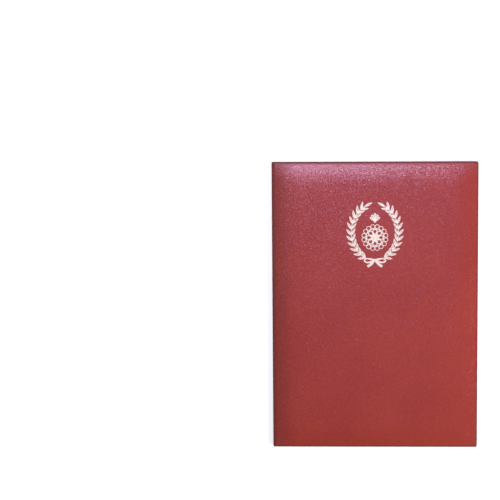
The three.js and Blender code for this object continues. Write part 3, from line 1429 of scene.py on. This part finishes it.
    def bends(self) -> list[Bend]:
        """Make the two sheets that bend round the folds.

        Returns:
            The sheets.
        """
        g = self.gauge
        back = ((g.fold_x, 0, 0), (g.spine_x, 0, g.back_fold))
        hold = (g.spine_x, 0, g.spine_middle + self.front_hold)
        front = (hold, (g.front_low.x, 0, g.edge_top - g.spine_drop))
        return [
            Bend(self.back_fold(), (Body.BACK, Body.SPINE), back, Slot.LEATHER, "spine_skin"),
            Bend(self.front_fold(), (Body.SPINE, Body.FRONT), front, Slot.LEATHER),
        ]


@dataclass
class PaperSheet:
    """Endpaper pasted over the turn-ins, whose edges show through it."""

    gauge: Gauge
    node: str
    name: str
    up: int
    cuts: tuple[int, int] = (98, 150)
    step: float = 2.2 * MM

    def build(self) -> bpy.types.Object:
        """Make the endpaper.

        Returns:
            The finished piece.
        """
        g = self.gauge
        low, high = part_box(self.node)
        rim = high.z if self.up > 0 else low.z
        sink = self.up * (high.z - low.z - g.paper)
        piece = grid(self.name, (low.x, high.x), (low.y, high.y), rim, self.cuts)
        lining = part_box("back_lining" if self.up > 0 else "front_lining")[1].x
        fore = g.front_high.x - g.turn_in
        end = g.head - g.turn_in
        for point in piece.data.vertices:
            inside = min(point.co.x - lining, fore - point.co.x, end - abs(point.co.y))
            point.co.z -= sink * (1 - fade(inside, (0.0, self.step)))
        if self.up < 0:
            turn_over(piece)
        thicken(piece, g.paper)
        smooth(piece)
        return piece


@dataclass
class HingePaper:
    """Endpaper where it runs over the spine: into the back fold, up, and on to the stub.

    lap is how far it lies on the back endpaper, pinch the width of its crest in the front
    fold and tuck how far that crest stays under the front's face.
    """

    gauge: Gauge
    cuts: int = 60
    lap: float = 0.4 * MM
    back_radius: float = 0.9 * MM
    pinch: float = 0.8 * MM
    tuck: float = 1.9 * MM
    stub_radius: float = 0.5 * MM
    hold: float = 0.6 * MM

    def back(self) -> bpy.types.Object:
        """Make the paper from the back endpaper up the inside of the spine.

        Returns:
            The finished piece.
        """
        g = self.gauge
        low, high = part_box("back_endpaper")
        start = low.x + self.lap / 2
        centre = (start, high.z + self.back_radius)
        bend = arc(centre, (start - g.fold_x, self.back_radius), (-90, -180), 7)
        profile = [(low.x + self.lap, high.z)] + bend + [(g.fold_x, g.spine_middle)]
        return self.finish(strip("hinge_paper_back", profile, (low.y, high.y), self.cuts))

    def front(self) -> bpy.types.Object:
        """Make the paper from the spine over into the front fold and on to the stub.

        Returns:
            The finished piece.
        """
        g = self.gauge
        low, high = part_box("endpaper_stub")
        half, radius = self.pinch / 2, self.stub_radius
        crest = arc((g.fold_x + half, g.edge_top - self.tuck - half), (half, half), (180, 0), 6)
        centre = (g.fold_x + self.pinch + radius, low.z + radius)
        turn = arc(centre, (radius, radius), (180, 270), 5)
        profile = [(g.fold_x, g.spine_middle)] + crest + turn + [(high.x, low.z)]
        return self.finish(strip("hinge_paper_front", profile, (low.y, high.y), self.cuts))

    def finish(self, piece: bpy.types.Object) -> bpy.types.Object:
        """Thicken the paper away from the side that shows.

        Args:
            piece: The bent sheet.

        Returns:
            The finished piece.
        """
        thicken(piece, self.gauge.paper, 1)
        face_out(piece)
        smooth(piece)
        return piece

    def bends(self) -> list[Bend]:
        """Make both papers, which bend round the folds.

        Returns:
            The sheets.
        """
        g = self.gauge
        back = ((g.fold_x + self.hold, 0, g.back_fold), (g.fold_x, 0, g.back_fold + 2 * self.hold))
        front = ((g.fold_x, 0, g.front_fold), (g.fold_x + self.pinch, 0, g.front_fold))
        return [
            Bend(self.back(), (Body.BACK, Body.SPINE), back, Slot.PAPER, "spine_endpaper"),
            Bend(self.front(), (Body.SPINE, Body.FRONT), front, Slot.PAPER, "endpaper_stub"),
        ]


@dataclass
class Lining:
    """Bare leatherette strip inside the front cover, between stub and endpaper."""

    proud: float = 0.03 * MM
    ease: float = 0.12 * MM
    cuts: tuple[int, int] = (14, 80)

    def build(self) -> bpy.types.Object:
        """Make the lining strip.

        Returns:
            The finished piece.
        """
        low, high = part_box("front_lining")
        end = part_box("front_endpaper")[1].y
        face = low.z - self.proud
        piece = grid("lining_strip", (low.x, high.x), (-end, end), face, self.cuts)
        turn_over(piece)
        thicken(piece, high.z - face)
        apply(piece, "BEVEL", width=self.ease, segments=2, limit_method="ANGLE")
        # Full painted shade, as on the turn-ins inside the covers.
        darken(piece, lambda place: 1.0)
        smooth(piece)
        return piece


# Setting


@dataclass(frozen=True)
class Camera:
    """Camera above the folder, a little past its head, aimed left of and beyond it."""

    place: Triple = (-0.02913, 0.41944, 2.4308)
    turn: Triple = (-8.4286, 2.4004, -0.4695)
    lens: float = 164.74

    def build(self) -> None:
        """Make the camera and use it."""
        data = bpy.data.cameras.new("camera")
        data.lens = self.lens
        data.clip_end = 20
        camera = bpy.data.objects.new("camera", data)
        camera.location = self.place
        camera.rotation_euler = [math.radians(angle) for angle in self.turn]
        bpy.context.scene.collection.objects.link(camera)
        bpy.context.scene.camera = camera


@dataclass(frozen=True)
class Lamp:
    """One soft lamp, aimed at the folder."""

    name: str
    place: Triple
    size: Point
    power: float
    colour: Triple
    glossy: bool = True

    def build(self) -> None:
        """Make the lamp."""
        data = bpy.data.lights.new(self.name, "AREA")
        data.shape = "RECTANGLE"
        data.size, data.size_y = self.size
        data.energy = self.power
        data.color = self.colour
        lamp = bpy.data.objects.new(self.name, data)
        lamp.location = self.place
        lamp.rotation_euler = Vector(self.place).to_track_quat("Z", "Y").to_euler()
        lamp.visible_camera = False
        lamp.visible_glossy = self.glossy
        bpy.context.scene.collection.objects.link(lamp)


LAMPS = (
    Lamp("head_panel", (-0.11, 0.40, 0.9), (0.26, 0.26), 4.8, (0.88, 0.83, 1.0)),
    Lamp("ceiling_panel", (0.03, 0.12, 1.3), (0.6, 0.7), 1.1, (0.55, 0.42, 1.0)),
    Lamp("side_key", (1.15, -0.35, 1.0), (0.8, 0.8), 25.5, (1.0, 0.95, 0.90), glossy=False),
)


@dataclass(frozen=True)
class Studio:
    """Pale floor and even light."""

    floor_size: float = 12.0
    floor_drop: float = 0.02 * MM
    floor: Colour = (0.85, 0.85, 0.85, 1)
    white: Colour = (1, 1, 1, 1)
    near_glow: float = 0.5
    far_glow: float = 1.0
    glow_span: Point = (0.3, 1.2)
    sky: Colour = (1.0, 0.98, 0.97, 1)
    wall: Colour = (0.8, 1.2, 0.4, 1)
    wall_span: Point = (-0.5, 0.1)
    sky_strength: float = 0.12

    def build(self) -> None:
        """Make the floor, the world and the lamps."""
        bpy.context.scene.view_settings.view_transform = "Standard"
        self.lay_floor()
        self.light()
        for lamp in LAMPS:
            lamp.build()

    @staticmethod
    def seen(nodes: Nodes) -> bpy.types.NodeSocket:
        """1 where the camera sees a place, also through glass, and 0 for other light."""
        path = nodes.add("LightPath")
        return nodes.math("MAXIMUM", path.outputs["Is Camera Ray"], path.outputs["Is Transmission Ray"])

    def lay_floor(self) -> None:
        """Make the floor, which looks white to the camera and keeps the folder's shadow."""
        half = self.floor_size / 2
        floor = grid("floor", (-half, half), (-half, half), -self.floor_drop, (4, 4))
        material, nodes, shader = new_material("pale_floor")
        shader.inputs["Base Color"].default_value = self.floor
        shader.inputs["Roughness"].default_value = 0.9
        shader.inputs["Specular IOR Level"].default_value = 0.0
        away = nodes.add("VectorMath", _operation="LENGTH", i0=nodes.add("TexCoord").outputs["Object"])
        level = nodes.span(away.outputs["Value"], *self.glow_span, (self.near_glow, self.far_glow))
        strength = nodes.math("MULTIPLY", self.seen(nodes), level)
        glow = nodes.add("Emission", Color=self.white, Strength=strength)
        both = nodes.add("AddShader", i0=shader.outputs[0], i1=glow.outputs[0])
        output = material.node_tree.nodes["Material Output"]
        nodes.feed(output.inputs["Surface"], both.outputs[0])
        floor.data.materials.append(material)

    def light(self) -> None:
        """Make the even light of the world, white where the camera sees it."""
        world = bpy.data.worlds.new("studio")
        world.use_nodes = True
        bpy.context.scene.world = world
        nodes = Nodes(world.node_tree)
        background = world.node_tree.nodes["Background"]
        seen = self.seen(nodes)
        side = nodes.add("SeparateXYZ", i0=nodes.add("TexCoord").outputs["Generated"]).outputs[0]
        room = nodes.mix(nodes.span(side, *self.wall_span), self.wall, self.sky)
        nodes.feed(background.inputs["Color"], nodes.mix(seen, room, self.white))
        strength = nodes.add("Mix", _data_type="FLOAT", i0=seen, i2=self.sky_strength, i3=1.0)
        nodes.feed(background.inputs["Strength"], strength.outputs[0])


# Assembly


KEPT_NODES = {
    "back_board": Slot.BOARD,
    "front_board": Slot.BOARD,
    "back_lining": Slot.LEATHER,
    "foil_wreath": Slot.FOIL,
    "foil_rosette": Slot.FOIL,
    "foil_finial": Slot.FOIL,
}


def cover_riders(gauge: Gauge) -> list[Rider]:
    """Make the leatherette of both covers, and the foam under the front one.

    Args:
        gauge: The folder's sizes.

    Returns:
        The pieces.
    """
    cover = FrontCover(gauge, gauge.front_low, gauge.front_high, up=1)
    front = cover.build()
    pad = cover.foam(front)
    back = BackCover(gauge, gauge.back_low, gauge.back_high, up=-1).build()
    return [
        Rider(front, Body.FRONT, Slot.LEATHER, "front_cover_skin"),
        Rider(pad, Body.FRONT, Slot.PADDING, "front_pad"),
        Rider(back, Body.BACK, Slot.LEATHER, "back_cover_skin"),
    ]


def inside_riders(gauge: Gauge) -> list[Rider]:
    """Make what is pasted inside the covers: two endpapers and the lining strip.

    Args:
        gauge: The folder's sizes.

    Returns:
        The pieces.
    """
    right = PaperSheet(gauge, "back_endpaper", "back_cover_paper", 1).build()
    left = PaperSheet(gauge, "front_endpaper", "front_cover_paper", -1).build()
    return [
        Rider(right, Body.BACK, Slot.PAPER, "back_endpaper"),
        Rider(left, Body.FRONT, Slot.PAPER, "front_endpaper"),
        Rider(Lining().build(), Body.FRONT, Slot.LEATHER, "front_lining"),
    ]


def install(parts: list[Rider | Bend], finishes: Finishes) -> None:
    """Dress pieces, put riders on their bodies, hide the CAD nodes they stand for, and log them.

    Args:
        parts: The pieces.
        finishes: The materials, made.
    """
    for part in parts:
        finishes.dress(part.piece, part.slot)
        part.place()
        if part.node:
            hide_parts(part.node)
        LOG.info("%s: %d faces", part.piece.name, len(part.piece.data.polygons))


def build_folder(frame: dict, finishes: Finishes) -> None:
    """Build, dress and place every piece of the folder.

    Args:
        finishes: The materials, made.
    """
    gauge = Gauge.read(frame["joints"])
    spine = Spine(gauge)
    install(cover_riders(gauge) + spine.riders() + inside_riders(gauge), finishes)
    install(spine.bends() + HingePaper(gauge).bends(), finishes)
    for name, slot in KEPT_NODES.items():
        finishes.dress(frame["nodes"][name], slot)
        LOG.info("%s: kept from the frame", name)


def main() -> None:
    """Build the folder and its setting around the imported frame."""
    logging.basicConfig(level=logging.INFO, format="%(message)s")
    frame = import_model()
    Camera().build()
    finishes = Finishes()
    finishes.build()
    build_folder(frame, finishes)
    Studio().build()


if __name__ == "__main__":
    main()
